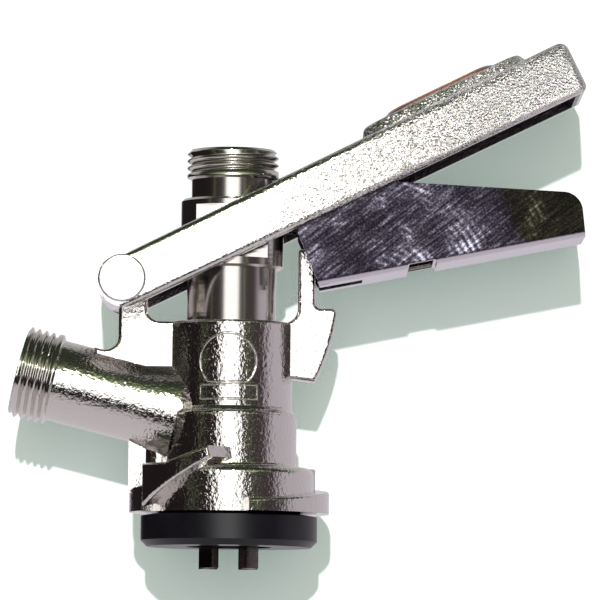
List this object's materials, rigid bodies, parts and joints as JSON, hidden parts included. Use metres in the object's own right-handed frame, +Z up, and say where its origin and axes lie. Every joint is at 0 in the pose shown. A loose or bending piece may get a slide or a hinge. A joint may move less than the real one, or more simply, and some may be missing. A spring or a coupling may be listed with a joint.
{
  "type": "keg coupler",
  "caption": "Lever keg coupler with bayonet body, rubber body seal, angled threaded gas inlet, sliding probe with threaded beer outlet, and a squeeze latch under the lever.",
  "frame": {"origin": "on the probe's axis, in the flat underside of the body seal, which seats on the keg valve", "axes": "+Z up along the probe towards the beer outlet, +X along the raised lever towards its free end, -X towards the gas inlet"},
  "size_m": [0.1432, 0.0488, 0.1308],
  "materials": {
    "cast_plating": "bright nickel plate over a sand-cast grain",
    "lever_plating": "bright nickel plate over a fine pebble grain",
    "latch_steel": "bright sheet steel with swirl marks",
    "badge_enamel": "dark red enamel, blank",
    "seal_rubber": "black moulded rubber",
    "washer_rubber": "black moulded rubber",
    "check_rubber": "black moulded rubber",
    "acetal": "white acetal",
    "stainless": "turned stainless steel",
    "pin_steel": "ground stainless steel",
    "spring_steel": "drawn spring steel"
  },
  "bodies": {
    "coupler": {"body_casting": "cast_plating", "body_seal": "seal_rubber", "lower_probe_o_ring": "seal_rubber", "upper_probe_o_ring": "seal_rubber", "gas_check_valve": "check_rubber", "check_valve_retainer": "acetal"},
    "probe": {"probe_body": "stainless", "probe_nose": "stainless", "probe_washer": "washer_rubber", "nose_o_ring": "seal_rubber", "ball_seat": "acetal", "ball_stop_pin": "stainless"},
    "ball": {"check_ball": "stainless"},
    "lever": {"lever_casting": "lever_plating", "badge_plate": "badge_enamel", "hinge_pin": "pin_steel", "hinge_pin_washer": "pin_steel", "hinge_pin_clip": "pin_steel", "latch_pin": "pin_steel"},
    "latch": {"latch_plate": "latch_steel", "latch_spring": "spring_steel"}
  },
  "joints": [
    {"name": "lever_pivot", "type": "hinge", "parent": "coupler", "child": "lever", "pos_m": [-0.027, 0, 0.0657], "axis": [0, 1, 0], "range_deg": [0, 26.4]},
    {"name": "probe_slide", "type": "slide", "parent": "coupler", "child": "probe", "axis": [0, 0, -1], "range_m": [0, 0.0128]},
    {"name": "latch_squeeze", "type": "hinge", "parent": "lever", "child": "latch", "pos_m": [0.02137, 0, 0.08971], "axis": [0, -1, 0], "range_deg": [0, 14], "stiffness_Nm_per_rad": 0.35, "springref_deg": -22.92, "deforming": ["latch_spring"]},
    {"name": "check_ball_lift", "type": "slide", "parent": "probe", "child": "ball", "axis": [0, 0, 1], "range_m": [0, 0.003]}
  ],
  "couplings": [
    {"joint": "probe_slide", "follows": "lever_pivot", "m_per_rad": 0.027502}
  ]
}
